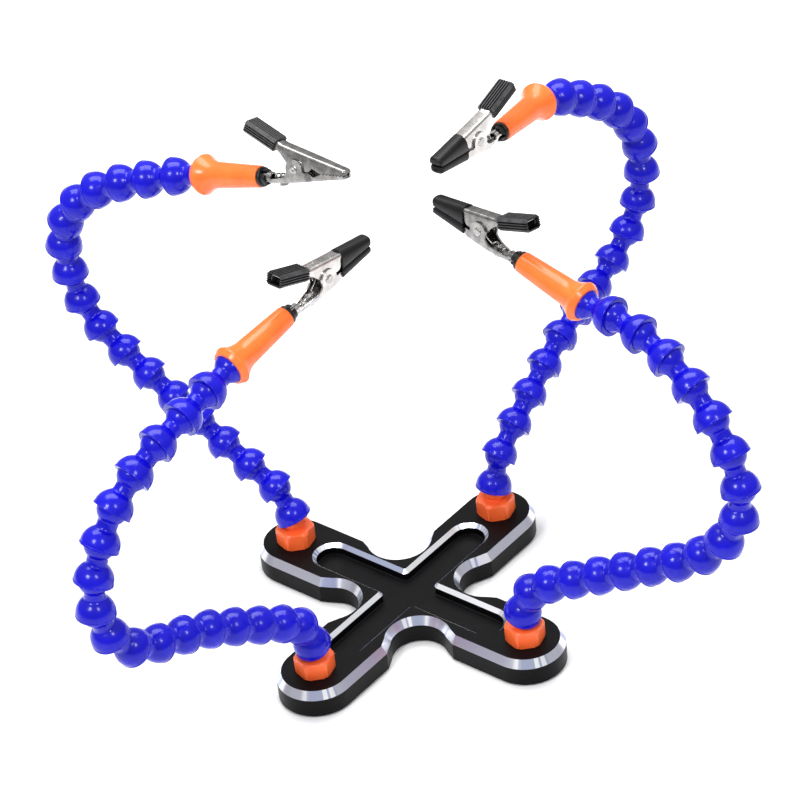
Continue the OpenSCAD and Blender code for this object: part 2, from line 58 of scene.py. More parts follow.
PLATE_BOTTOM, PLATE_TOP = 0.5, 12.5
POST_XY, LOBE_R = 43.5, 16.5
BEVEL_W, BEVEL_H = 2.2, 3.5
NOTCH_POS, NOTCH_R, NOTCH_SIDE, NOTCH_FLARE = 33.3, 11.7, 0.985, radians(20)
RECESS_REACH, RECESS_R, RECESS_BEVEL, RECESS_DEPTH = 41.3, 7.2, 1.6, 5
PAD_INSET, PAD_TOP = 3.2, 1.5
HEX_AF, HEX_H = 15, 8
BALL_R, SOCKET_R, NECK_R, BORE_R, BALL_FLAT = 6.2, 6.3, 4.1, 2.8, 5
BALL_Z = 26
LINK_R, RIM_DROP, LIP_H, LIP_STEP, PITCH = 7.9, 1.35, 1, 0.15, 14.4
NOZZLE_LEN, FLARE_R, TUBE_R, TIP_R = 31.5, 8.2, 5.3, 4.4
FLARE_H, FLARE_LIP, MOUTH_STEP, BUSH_FLANGE_R = 9, 1.4, 1.1, 4
JAW_LEN, CLIP_HALF, TIP_HALF, SHEET = 24, 3.8, 2.3, 0.8
PIVOT_Z, TAIL_R, TAIL_IN, TAIL_OUT = 4, 2.1, 4.6, 6
EAR_R, UPPER_EAR_R, UPPER_HALF, TOP_W = 4, 3.2, 2.9, 7.3
JAW_SLOPE, COVER_OPEN = radians(19.3), radians(6)
HANDLE_BACK, HANDLE_LOW, HEEL = -25, 4.6, -9.2
BEND_X, HANDLE_BEND = -8.5, radians(11)
EARS_BACK, NARROW_FROM, NARROW_TO = -6, 5, 7.5
TEETH_FROM, TOOTH_PITCH, TOOTH_H, TOOTH_GAP = 12, 1.6, 0.5, 0.3
EDGE_FROM, THROAT_X, THROAT_H = 6.5, 8.5, 1.8
# The line where the closed jaws meet, and the lower jaw's underside: start, height there, height at the tip
MEET_FROM, MEET_BACK, MEET_TIP = 4.6, -1.3, -2.8
FLOOR_FROM, FLOOR_BACK, FLOOR_TIP = -12, -6.1, -4.3
COVER_T, COVER_BACK, COVER_NOSE = 0.8, 8, 1.2
WIRE_R, COIL_R, TURNS, SPRING_HALF = 0.36, 1.75, 4, 1.65

# Points that each hose's ball centres follow, after the ball on the base
ROUTES = {
    "a": ((-50, 48, 41), (-60, 54, 50), (-90, 72, 82), (-115, 90, 110), (-122, 94, 138),
          (-118, 88, 163), (-103, 76, 181), (-81, 60, 192), (-57, 44, 200), (-38, 24, 208)),
    "b": ((-48, -49, 41), (-56, -58, 50), (-84, -82, 72), (-112, -108, 90), (-122, -114, 116),
          (-114, -108, 146), (-97, -96, 165), (-75, -78, 175), (-54, -58, 181), (-32, -38, 183)),
    "c": ((48, 47, 41), (56, 54, 50), (82, 80, 74), (110, 108, 90), (124, 118, 112),
          (126, 118, 140), (116, 108, 164), (98, 92, 182), (80, 74, 194), (62, 50, 198)),
    "d": ((48, -49, 41), (56, -58, 50), (84, -84, 72), (110, -108, 94), (122, -118, 118),
          (120, -114, 144), (108, -96, 167), (92, -74, 179), (74, -52, 181), (57, -30, 188)),
}
POSTS = {"a": (-1, 1), "b": (-1, -1), "c": (1, 1), "d": (1, -1)}


# ---- Meshes --------------------------------------------------------------------------------

def skin(rows, caps=(False, False)):
    """Closed loops of as many points each, joined by quads: (points, faces)."""
    n = len(rows[0])
    faces = [(i * n + j, i * n + (j + 1) % n, (i + 1) * n + (j + 1) % n, (i + 1) * n + j)
             for i in range(len(rows) - 1) for j in range(n)]
    if caps[0]:
        faces.append(tuple(range(n)))
    if caps[1]:
        faces.append(tuple(range((len(rows) - 1) * n, len(rows) * n)))
    return [p for row in rows for p in row], faces


def lathe(profile, steps=64):
    """A closed outline of (radius, z) points turned round Z."""
    rows = [[(r * cos(TAU * k / steps), r * sin(TAU * k / steps), z) for k in range(steps)]
            for r, z in profile]
    return skin(rows + rows[:1])


def filleted(corners, steps=4):
    """A closed outline whose corners (x, y, radius) are rounded."""
    out = []
    for i, (x, y, r) in enumerate(corners):
        p = Vector((x, y))
        if not r:
            out.append((x, y))
            continue
        a = Vector(corners[i - 1][:2]) - p
        b = Vector(corners[(i + 1) % len(corners)][:2]) - p
        half = a.angle(b) / 2
        a.normalize()
        b.normalize()
        centre = p + (a + b).normalized() * r / sin(half)
        start, end = p + a * r / tan(half) - centre, p + b * r / tan(half) - centre
        t0 = atan2(start.y, start.x)
        turn = (atan2(end.y, end.x) - t0 + pi) % TAU - pi
        out += [(centre.x + r * cos(t0 + turn * k / steps), centre.y + r * sin(t0 + turn * k / steps))
                for k in range(steps + 1)]
    return out


def arc(r, start, end, steps, z=0):
    """(radius, z) points on a circle round (0, z), at angles above the horizontal."""
    return [(r * cos(start + (end - start) * k / steps), z + r * sin(start + (end - start) * k / steps))
            for k in range(steps + 1)]


def mesh(name, parts, sharp=30):
    """One mesh in metres from parts in millimetres: (points, faces) or (points, faces, material)."""
    bm = bmesh.new()
    for points, faces, *slot in parts:
        verts = [bm.verts.new(Vector(p) * MM) for p in points]
        for corners in faces:
            face = bm.faces.new([verts[i] for i in corners])
            face.smooth = True
            face.material_index = slot[0] if slot else 0
    bmesh.ops.remove_doubles(bm, verts=bm.verts, dist=1e-7)
    bmesh.ops.dissolve_degenerate(bm, edges=bm.edges, dist=1e-8)
    bmesh.ops.recalc_face_normals(bm, faces=bm.faces)
    for edge in bm.edges:
        edge.smooth = edge.calc_face_angle(pi) < radians(sharp)
    made = bpy.data.meshes.new(name)
    bm.to_mesh(made)
    bm.free()
    return made


def add(name, shape, finishes, body, stands_for=(), at=Matrix.Identity(4), edge=0):
    """Puts a mesh in the scene as a piece that rides on a CAD body."""
    piece = bpy.data.objects.new(name, shape)
    bpy.context.scene.collection.objects.link(piece)
    if not shape.materials:
        for one in finishes:
            shape.materials.append(one)
    piece.matrix_world = at
    if edge:
        soften(piece, edge)
    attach(piece, body)
    if stands_for:
        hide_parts(*stands_for)
    return piece


def soften(piece, width):
    """Breaks the sharp edges of a piece by a small round, in millimetres."""
    bevel = piece.modifiers.new("edges", "BEVEL")
    bevel.width = width * MM
    bevel.segments = 2
    bevel.limit_method = "ANGLE"
    bevel.angle_limit = radians(35)


def between(x, table):
    """Straight-line interpolation in a table of (x, value)."""
    for (x0, v0), (x1, v1) in zip(table, table[1:]):
        if x <= x1:
            return v0 + (v1 - v0) * (max(x, x0) - x0) / (x1 - x0)
    return table[-1][1]


def spaced(start, end, step):
    """Numbers from start to end, both included, about one step apart."""
    count = max(1, round(abs(end - start) / step))
    return [start + (end - start) * k / count for k in range(count + 1)]


# ---- Materials -----------------------------------------------------------------------------

def linear(*rgb):
    """A colour given as 0 to 255 screen values, for a shader's socket."""
    return tuple((v / 255 / 12.92 if v <= 10 else ((v / 255 + 0.055) / 1.055) ** 2.4) for v in rgb) + (1,)


def new_material(name):
    made = bpy.data.materials.new(name)
    made.use_nodes = True
    return made, made.node_tree.nodes, made.node_tree.links


def noise(nodes, links, vector, scale, detail=3, stretch=(1, 1, 1)):
    """Noise that repeats about every 1/scale metres, stretched along each axis."""
    mapping = nodes.new("ShaderNodeMapping")
    mapping.inputs["Scale"].default_value = stretch
    links.new(vector, mapping.inputs["Vector"])
    made = nodes.new("ShaderNodeTexNoise")
    made.inputs["Scale"].default_value = scale
    made.inputs["Detail"].default_value = detail
    links.new(mapping.outputs["Vector"], made.inputs["Vector"])
    return made.outputs["Fac"]


def spread(nodes, links, value, low, high, start=0.35, end=0.65):
    """A value from start to end, spread out to run from low to high."""
    made = nodes.new("ShaderNodeMapRange")
    for socket, number in zip(("From Min", "From Max", "To Min", "To Max"), (start, end, low, high)):
        made.inputs[socket].default_value = number
    links.new(value, made.inputs["Value"])
    return made.outputs["Result"]


def blend_colours(nodes, links, share, first, second):
    """A mix of two colours, each given as a value or as another node's output."""
    made = nodes.new("ShaderNodeMix")
    made.data_type = "RGBA"
    for socket, colour in (("A", first), ("B", second)):
        if isinstance(colour, tuple):
            made.inputs[socket].default_value = colour
        else:
            links.new(colour, made.inputs[socket])
    links.new(share, made.inputs["Factor"])
    return made.outputs["Result"]


def finish(name, dark, light, rough, patch, grain, depth, metallic=0, coat=0, specular=0.5):
    """A surface whose colour and gloss vary in patches, with a fine grain pressed into it.
    patch and grain are in repeats per millimetre, depth in millimetres."""
    made, nodes, links = new_material(name)
    shader = nodes["Principled BSDF"]
    shader.inputs["Metallic"].default_value = metallic
    shader.inputs["Coat Weight"].default_value = coat
    shader.inputs["Coat Roughness"].default_value = 0.08
    shader.inputs["Specular IOR Level"].default_value = specular
    place = nodes.new("ShaderNodeTexCoord").outputs["Object"]
    broad = noise(nodes, links, place, patch / MM, 4)
    share = spread(nodes, links, broad, 0, 1)
    links.new(blend_colours(nodes, links, share, dark, light), shader.inputs["Base Color"])
    wear = noise(nodes, links, place, patch * 3.1 / MM, 5)
    links.new(spread(nodes, links, wear, *rough), shader.inputs["Roughness"])
    fine = noise(nodes, links, place, grain / MM, 2)
    bump = nodes.new("ShaderNodeBump")
    bump.inputs["Distance"].default_value = depth * MM
    bump.inputs["Strength"].default_value = 1
    links.new(fine, bump.inputs["Height"])
    links.new(bump.outputs["Normal"], shader.inputs["Normal"])
    return made


def cut_metal_painted_reflections(name):
    """Bright diamond-cut aluminium with painted reflections: its colour follows the way each face points,
    duller along the arms and striped light and dark round the ends.
    """
    made, nodes, links = new_material(name)
    shader = nodes["Principled BSDF"]
    shader.inputs["Metallic"].default_value = 1
    coordinates = nodes.new("ShaderNodeTexCoord")
    facing = nodes.new("ShaderNodeSeparateXYZ")
    links.new(coordinates.outputs["Normal"], facing.inputs["Vector"])
    product = nodes.new("ShaderNodeMath")
    product.operation = "MULTIPLY"
    links.new(facing.outputs["X"], product.inputs[0])
    links.new(facing.outputs["Y"], product.inputs[1])
    size = nodes.new("ShaderNodeMath")
    size.operation = "ABSOLUTE"
    links.new(product.outputs["Value"], size.inputs[0])
    # Painted reflections: along an arm the surface faces both X and Y, and the share of the striped
    # reflection is 0. Round the ends it is 1
    share = spread(nodes, links, size.outputs["Value"], 1, 0, 0.27, 0.31)
    # Painted reflection stripes round the ends, light and dark by the way each face points
    reflection_band_noise = noise(nodes, links, coordinates.outputs["Normal"], 9, 0)
    painted_banded_reflection = blend_colours(nodes, links, spread(nodes, links, reflection_band_noise, 0, 1, 0.42, 0.5), linear(178, 186, 212),
                           linear(250, 252, 255))
    # Painted reflection along the arms, lighter or darker by the way each face points
    straight = noise(nodes, links, coordinates.outputs["Normal"], 1.7, 0)
    painted_plain_reflection = blend_colours(nodes, links, spread(nodes, links, straight, 0, 1, 0.4, 0.55),
                          linear(158, 157, 172), linear(205, 206, 220))
    links.new(blend_colours(nodes, links, share, painted_plain_reflection, painted_banded_reflection), shader.inputs["Base Color"])
    place = coordinates.outputs["Object"]
    lines = noise(nodes, links, place, 0.6 / MM, 3, (1, 1, 12))
    links.new(spread(nodes, links, lines, 0.3, 0.36), shader.inputs["Roughness"])
    bump = nodes.new("ShaderNodeBump")
    bump.inputs["Distance"].default_value = 0.001 * MM
    links.new(lines, bump.inputs["Height"])
    links.new(bump.outputs["Normal"], shader.inputs["Normal"])
    return made


ANODISED = finish("anodised_black", linear(5, 5, 6), linear(8, 8, 10), (0.36, 0.44),
                  0.06, 5, 0.003, specular=0.1)
# The bevels' colour holds painted reflections
CUT_PAINTED_REFLECTIONS = cut_metal_painted_reflections("diamond_cut_edge_painted_reflections")
PAD = finish("pad_foam_rubber", linear(22, 22, 22), linear(34, 34, 33), (0.8, 0.95), 0.2, 2.5, 0.08)
BLUE = finish("link_blue_acetal", linear(8, 5, 168), linear(12, 8, 184), (0.2, 0.26),
              0.12, 3, 0.003, coat=0.2, specular=0.2)
HEX_ORANGE = finish("connector_orange_acetal", linear(242, 96, 42), linear(247, 106, 50), (0.33, 0.42),
                    0.15, 2.5, 0.008)
NOZZLE_ORANGE = finish("nozzle_orange_acetal", linear(246, 106, 40), linear(250, 116, 48),
                       (0.2, 0.26), 0.12, 2.5, 0.004, specular=0.4)
BUSH_BLACK = finish("bush_black_rubber", linear(8, 8, 9), linear(14, 14, 15), (0.32, 0.44), 0.3, 3, 0.01,
                    specular=0.4)
# A darker copy of the nickel plate, as painted shade
NICKEL_PAINTED_SHADE = finish("clip_nickel_painted_shade", linear(128, 126, 125), linear(168, 166, 165), (0.22, 0.3),
                     0.3, 1.2, 0.001, metallic=1)
NICKEL = finish("clip_nickel_plate", linear(186, 183, 181), linear(214, 211, 209), (0.2, 0.28),
                0.2, 1.2, 0.001, metallic=1)
RIVET_STEEL = finish("rivet_steel", linear(150, 149, 148), linear(196, 195, 194), (0.2, 0.35),
                     0.8, 3, 0.002, metallic=1)
SPRING_STEEL = finish("spring_steel", linear(150, 149, 146), linear(196, 195, 191), (0.22, 0.36),
                      0.8, 3, 0.002, metallic=1)
SLEEVE_PVC = finish("sleeve_black_pvc", linear(8, 8, 10), linear(15, 15, 18), (0.3, 0.4), 0.25, 4, 0.006,
                    specular=0.4)
# Paler PVC for the rib tops, a painted highlight
PVC_PAINTED_HIGHLIGHT = finish("sleeve_pvc_painted_highlight", linear(40, 40, 42), linear(64, 64, 66), (0.34, 0.44), 0.4, 4, 0.006)
COVER_RUBBER = finish("cover_black_rubber", linear(6, 5, 7), linear(11, 10, 13), (0.38, 0.46),
                      0.25, 3, 0.006, specular=0.3)


# ---- Base ----------------------------------------------------------------------------------

LOBE_STEPS, NOTCH_STEPS = 48, 40


def four_times(quarter, z):
    """A closed loop at height z from one quarter of it, turned clockwise three more times."""
    return [(x * cos(t) + y * sin(t), y * cos(t) - x * sin(t), z)
            for t in (0, pi / 2, pi, 3 * pi / 2) for x, y in quarter]


def end_arc(centre, r):
    """The round end of the arm that points half way between X and Y, taken clockwise."""
    angles = (radians(135) - pi * k / LOBE_STEPS for k in range(LOBE_STEPS + 1))
    return [(centre + r * cos(t), centre + r * sin(t)) for t in angles]


def plate_loop(inset, z):
    """The plate's outline, drawn in by inset."""
    r = NOTCH_R + inset
    side = r * NOTCH_SIDE
    crossing = pi / 2 + NOTCH_FLARE - acos(NOTCH_SIDE)
    arm_side = (LOBE_R - inset) * sqrt(2)
    out = (arm_side - NOTCH_POS + side * (sin(NOTCH_FLARE) + cos(NOTCH_FLARE))) \
        / (cos(NOTCH_FLARE) - sin(NOTCH_FLARE))
    kink = (NOTCH_POS - side * sin(NOTCH_FLARE) + out * cos(NOTCH_FLARE),
            side * cos(NOTCH_FLARE) + out * sin(NOTCH_FLARE))
    turns = [crossing + (TAU - 2 * crossing) * k / NOTCH_STEPS for k in range(NOTCH_STEPS + 1)]
    notch = [(NOTCH_POS + r * cos(t), r * sin(t)) for t in turns]
    return four_times(end_arc(POST_XY, LOBE_R - inset) + [kink] + notch + [(kink[0], -kink[1])], z)


def recess_loop(r, z):
    """The recess's outline at half width r. Its four inner corners are rounded about one axis."""
    corner = RECESS_R + RECESS_BEVEL + 0.6
    round_r = corner - r
    steps = NOTCH_STEPS + 2
    turns = [radians(135 + 90 * k / steps) for k in range(steps + 1)]
    inner = [(corner * sqrt(2) + round_r * cos(t), round_r * sin(t)) for t in turns]
    return four_times(end_arc(RECESS_REACH / sqrt(2), r) + inner, z)


def flat_ring(outer, inner):
    """A flat face with a hole in it, as triangles."""
    loops = [[Vector(p) for p in loop] for loop in (outer, inner)]
    return outer + inner, [tuple(triangle) for triangle in tessellate_polygon(loops)]


def base_plate():
    low = PLATE_TOP - RECESS_DEPTH
    underside = [plate_loop(PAD_INSET, PAD_TOP - 0.5), plate_loop(PAD_INSET, PLATE_BOTTOM),
                 plate_loop(0.5, PLATE_BOTTOM), plate_loop(0, PLATE_BOTTOM + 0.5),
                 plate_loop(0, PLATE_TOP - BEVEL_H)]
    outer_bevel = [plate_loop(0, PLATE_TOP - BEVEL_H), plate_loop(BEVEL_W, PLATE_TOP)]
    top = flat_ring(plate_loop(BEVEL_W, PLATE_TOP), recess_loop(RECESS_R + RECESS_BEVEL, PLATE_TOP))
    inner_bevel = [recess_loop(RECESS_R + RECESS_BEVEL, PLATE_TOP),
                   recess_loop(RECESS_R, PLATE_TOP - RECESS_BEVEL)]
    pocket = [recess_loop(RECESS_R, PLATE_TOP - RECESS_BEVEL), recess_loop(RECESS_R, low + 0.5),
              recess_loop(RECESS_R - 0.15, low + 0.15), recess_loop(RECESS_R - 0.5, low)]
    shape = mesh("base_plate", [(*skin(underside, (True, False)), 0), (*skin(outer_bevel), 1),
                                (*top, 0), (*skin(inner_bevel), 1),
                                (*skin(pocket, (False, True)), 0)], sharp=9)
    add("base_plate_milled", shape, [ANODISED, CUT_PAINTED_REFLECTIONS], "base", ["base_plate"])


def base_pad():
    inset, top = PAD_INSET + 0.1, PAD_TOP - 0.55
    rows = [plate_loop(inset + 0.3, 0), plate_loop(inset, 0.3), plate_loop(inset, top)]
    shape = mesh("base_pad", [skin(rows, (True, True))])
    add("base_pad_rubber", shape, [PAD], "base", ["base_pad"])


def connector_shape():
    """A hexagon with broken corners under a neck and a ball, Z up from the plate."""
    steps = 144
    corner = HEX_AF / sqrt(3) - 0.3

    def ring(z, limit):
        row = []
        for k in range(steps):
            t = TAU * k / steps
            flat = HEX_AF / 2 / cos((t % (pi / 3)) - pi / 6)
            r = min(flat, limit)
            row.append((r * cos(t), r * sin(t), z))
        return row

    ball_z = BALL_Z - PLATE_TOP
    neck_turn = acos(NECK_R / BALL_R)
    flat_turn = asin(BALL_FLAT / BALL_R)
    rows = [ring(0, corner - 0.35), ring(0.35, corner), ring(HEX_H - 1.3, corner),
            ring(HEX_H - 1.05, corner - 0.12), ring(HEX_H - 0.2, HEX_AF / 2 - 0.1),
            ring(HEX_H, HEX_AF / 2 - 0.5), ring(HEX_H, NECK_R + 0.5), ring(HEX_H + 0.15, NECK_R + 0.15),
            ring(HEX_H + 0.5, NECK_R)]
    rows += [ring(z, r) for r, z in arc(BALL_R, -neck_turn, flat_turn, 18, ball_z)]
    rows += [ring(ball_z + BALL_FLAT, BORE_R), ring(HEX_H, BORE_R)]
    return mesh("connector", [skin(rows, (True, True))])


def connectors():
    shape = connector_shape()
    for arm in ARMS:
        place = Vector((POSTS[arm][0] * POST_XY, POSTS[arm][1] * POST_XY, PLATE_TOP)) * MM
        add(f"connector_{arm}", shape, [HEX_ORANGE], "base", ["hose_connectors"],
            Matrix.Translation(place))


# ---- Hose ----------------------------------------------------------------------------------

def route_point(p, t):
    """A smooth curve through the points, where t counts the points passed."""
    i = min(floor(t), len(p) - 2)
    f = t - i
    p0, p1, p2, p3 = p[max(i - 1, 0)], p[i], p[i + 1], p[min(i + 2, len(p) - 1)]
    return 0.5 * (2 * p1 + (p2 - p0) * f + (2 * p0 - 5 * p1 + 4 * p2 - p3) * f * f
                  + (3 * p1 - p0 - 3 * p2 + p3) * f ** 3)


def ball_centres(arm):
    """Nineteen points on the hose's route, each one pitch from the one before."""
    start = (POSTS[arm][0] * POST_XY, POSTS[arm][1] * POST_XY, BALL_Z)
    p = [Vector(point) for point in (start,) + ROUTES[arm]]
    t, centres = 0, [p[0]]
    for _ in range(STRETCHES[-1][1]):
        low, high = t, min(t + 2, len(p) - 1)
        for _ in range(26):
            t = (low + high) / 2
            if (route_point(p, t) - centres[-1]).length < PITCH:
                low = t
            else:
                high = t
        centres.append(route_point(p, t))
    return centres


def link_shape():
    """One hose link, Z from the centre of its socket to the centre of its ball."""
    dome_r = LINK_R - LIP_STEP
    rim_top = LIP_H - RIM_DROP
    socket_low = -asin(RIM_DROP / SOCKET_R)
    bore_turn = acos(BORE_R / SOCKET_R)
    mouth = SOCKET_R * cos(socket_low)
    rim = filleted([(mouth, -RIM_DROP, 0), (LINK_R, -RIM_DROP, 0.3), (LINK_R, rim_top, 0.2),
                    (dome_r, rim_top, 0)])
    dome = arc(dome_r, asin(rim_top / dome_r) + 0.03, acos((NECK_R + 0.7) / dome_r), 18)
    foot = [(NECK_R + 0.28, dome[-1][1] + 0.35), (NECK_R + 0.06, dome[-1][1] + 0.75),
            (NECK_R, dome[-1][1] + 1.2)]
    ball = arc(BALL_R, -acos((NECK_R + 0.35) / BALL_R), asin(BALL_FLAT / BALL_R) - 0.04, 18, PITCH)
    under = [(NECK_R, ball[0][1] - 0.9), (NECK_R + 0.08, ball[0][1] - 0.4)]
    end = [(BALL_R * cos(asin(BALL_FLAT / BALL_R)) - 0.15, PITCH + BALL_FLAT),
           (BORE_R, PITCH + BALL_FLAT)]
    socket = arc(SOCKET_R, bore_turn, socket_low + 0.03, 14)
    return mesh("link", [lathe(rim + dome + foot + under + ball + end + socket, 64)])


def along(p, q):
    """The frame at p, in metres, whose Z axis points to q."""
    turn = Vector((0, 0, 1)).rotation_difference(q - p).to_matrix().to_4x4()
    return Matrix.Translation(p * MM) @ turn


def hose(arm, link):
    """The four stretches of a hose, each of which rides on its own body."""
    balls = ball_centres(arm)
    for n, (first, last) in enumerate(STRETCHES, 1):
        bm = bmesh.new()
        for k in range(first, last + 1):
            copy = link.copy()
            copy.transform(along(balls[k - 1], balls[k]))
            bm.from_mesh(copy)
            bpy.data.meshes.remove(copy)
        shape = bpy.data.meshes.new(f"hose_{arm}_{n}")
        bm.to_mesh(shape)
        bm.free()
        add(f"hose_{arm}_{n}_links", shape, [BLUE], f"hose_{arm}_{n}", [f"links_{arm}_{n}"])


# ---- Nozzle --------------------------------------------------------------------------------

def place_of(joint):
    return Vector(JOINTS[joint]["pos_m"])


def axis_of(joint):
    return Vector(JOINTS[joint]["axis"]).normalized()


def frame_at(origin, x, y, z):
    turn = Matrix((x, y, z)).transposed().to_4x4()
    return Matrix.Translation(origin) @ turn


def nozzle_frame(arm):
    """Z along the nozzle from the centre of its socket."""
    start = place_of(f"nozzle_{arm}_tilt")
    z = (place_of(f"clip_{arm}_turn") - start).normalized()
    x = Vector((0, 0, 1)).cross(z).normalized()
    return frame_at(start, x, z.cross(x), z)


def nozzle_shape():
    socket_low = -asin(RIM_DROP / SOCKET_R)
    mouth = SOCKET_R * cos(socket_low)
    hole_r, hole_depth, steps = 3.3, 5, 16
    lip = filleted([(mouth, -RIM_DROP, 0), (FLARE_R - MOUTH_STEP, -RIM_DROP, 0.3),
                    (FLARE_R, FLARE_LIP - 0.6, 0.4), (FLARE_R, FLARE_LIP, 0)])[:-1]
    flare = [(TUBE_R + (FLARE_R - TUBE_R) * (1 - k / steps) ** 1.8,
              FLARE_LIP + (FLARE_H - FLARE_LIP) * k / steps) for k in range(steps + 1)]
    tube = [(TUBE_R + (TIP_R - TUBE_R) * k / 6, FLARE_H + (NOZZLE_LEN - 0.6 - FLARE_H) * k / 6)
            for k in range(1, 7)]
    tip = [(TIP_R - 0.08, NOZZLE_LEN - 0.25), (TIP_R - 0.25, NOZZLE_LEN - 0.06), (TIP_R - 0.45, NOZZLE_LEN),
           (hole_r, NOZZLE_LEN), (hole_r, NOZZLE_LEN - hole_depth), (BORE_R, NOZZLE_LEN - hole_depth)]
    socket = arc(SOCKET_R, acos(BORE_R / SOCKET_R), socket_low + 0.03, 14)
    return mesh("nozzle", [lathe(lip + flare + tube + tip + socket, 96)])


def bush_shape():
    """A flanged rubber bush with three fingers that grip the clip's tail."""
    z = NOZZLE_LEN
    barrel_r, length, flange, fingers = 3.25, 5, 1.6, 3.6
    body = filleted([(TAIL_R + 0.1, z - length, 0), (barrel_r, z - length, 0), (barrel_r, z, 0),
                     (BUSH_FLANGE_R, z, 0.3), (BUSH_FLANGE_R, z + flange, 0.6),
                     (TAIL_R + 0.1, z + flange, 0.3)])
    parts = [lathe(body, 48)]
    finger = filleted([(TAIL_R + 0.15, z + flange - 0.4, 0), (barrel_r, z + flange - 0.4, 0),
                       (barrel_r - 0.1, z + fingers, 0.45), (TAIL_R + 0.25, z + fingers, 0.2)])
    for start in (0.2, 2.3, 4.4):
        turns = [start + 1.6 * k / 14 for k in range(15)]
        rows = [[(r * cos(t), r * sin(t), h) for r, h in finger] for t in turns]
        parts.append(skin(rows, (True, True)))
    return mesh("bush", parts)


# ---- Clip ----------------------------------------------------------------------------------
# Drawn round the rivet: X towards the jaws' tips, Z up. The upper jaw's X runs along its top plate.

def clip_frame(arm):
    x = axis_of(f"clip_{arm}_turn")
    y = -axis_of(f"jaw_{arm}_open")
    return frame_at(place_of(f"jaw_{arm}_open"), x, y, x.cross(y))


def upper_frame(arm):
    held_open = COVER_OPEN if arm in COVERED else 0
    return clip_frame(arm) @ Matrix.Rotation(JAW_SLOPE - held_open, 4, "Y")


def rivet_out(arm):
    """Distance along the clip from the nozzle's tip to the rivet."""
    way = place_of(f"jaw_{arm}_open") - place_of(f"clip_{arm}_turn")
    return way.dot(axis_of(f"clip_{arm}_turn")) / MM


def meet_z(x):
    """Height of the line where the closed jaws meet."""
    return MEET_BACK + (MEET_TIP - MEET_BACK) * (x - MEET_FROM) / (JAW_LEN - MEET_FROM)


def floor_z(x):
    """Underside of the lower jaw."""
    return FLOOR_BACK + (FLOOR_TIP - FLOOR_BACK) * (x - FLOOR_FROM) / (JAW_LEN - FLOOR_FROM)


def to_upper(x, z):
    return (x * cos(JAW_SLOPE) - z * sin(JAW_SLOPE), x * sin(JAW_SLOPE) + z * cos(JAW_SLOPE))


def tooth(x):
    return TOOTH_H * -cos(TAU * (x - TEETH_FROM) / TOOTH_PITCH) / 2


def jaw_edge(lift, throat):
    """Points of a jaw's edge from the ear to the tip: the throat, then the teeth."""
    points = [(MEET_FROM, meet_z(MEET_FROM) + lift), (EDGE_FROM, meet_z(EDGE_FROM) + lift),
              (THROAT_X, meet_z(THROAT_X) + throat)]
    return points + [(x, meet_z(x) + lift + tooth(x)) for x in spaced(TEETH_FROM, JAW_LEN, 0.2)]


def channel(x, half, back, edge, bend=1.0):
    """Closed outline at x of a bent sheet: its back at one height, its two edges at the other."""
    s = 1 if edge > back else -1
    bend = min(bend, abs(edge - back) * 0.8, half * 0.7)
    inner = max(bend - SHEET, 0.12)

    def fold(width, level, r):
        turns = [pi / 2 * k / 5 for k in range(6)]
        left = [(-width + r - r * cos(t), level + s * (r - r * sin(t))) for t in turns]
        right = [(width - r + r * sin(t), level + s * (r - r * cos(t))) for t in turns]
        return [(-width, edge)] + left + right + [(width, edge)]

    thick = min(SHEET, abs(edge - back) * 0.6)
    ring = fold(half, back, bend) + fold(half - SHEET, back + s * thick, inner)[::-1]
    return [(x, y, z) for y, z in ring]


def nose_drop(x, tip, reach):
    """From 0 at reach before the tip to 1 at the tip, along a quarter circle."""
    q = min(max((x - tip + reach) / reach, 0), 1)
    return 1 - sqrt(1 - q * q)


def nose_wall(tip, half, back, edge):
    """The closed front end of a jaw."""
    rows = []
    for x, shrink in ((tip - 0.8, 0.3), (tip - 0.25, 0.3), (tip + 0.05, 0.7)):
        w, low, high = half - shrink, min(back, edge) + shrink * 0.5, max(back, edge) - shrink * 0.5
        rows.append([(x, y, z) for y, z in filleted([(-w, low, 0.3), (w, low, 0.3), (w, high, 0.3),
                                                      (-w, high, 0.3)], 3)])
    return skin(rows, (True, True))


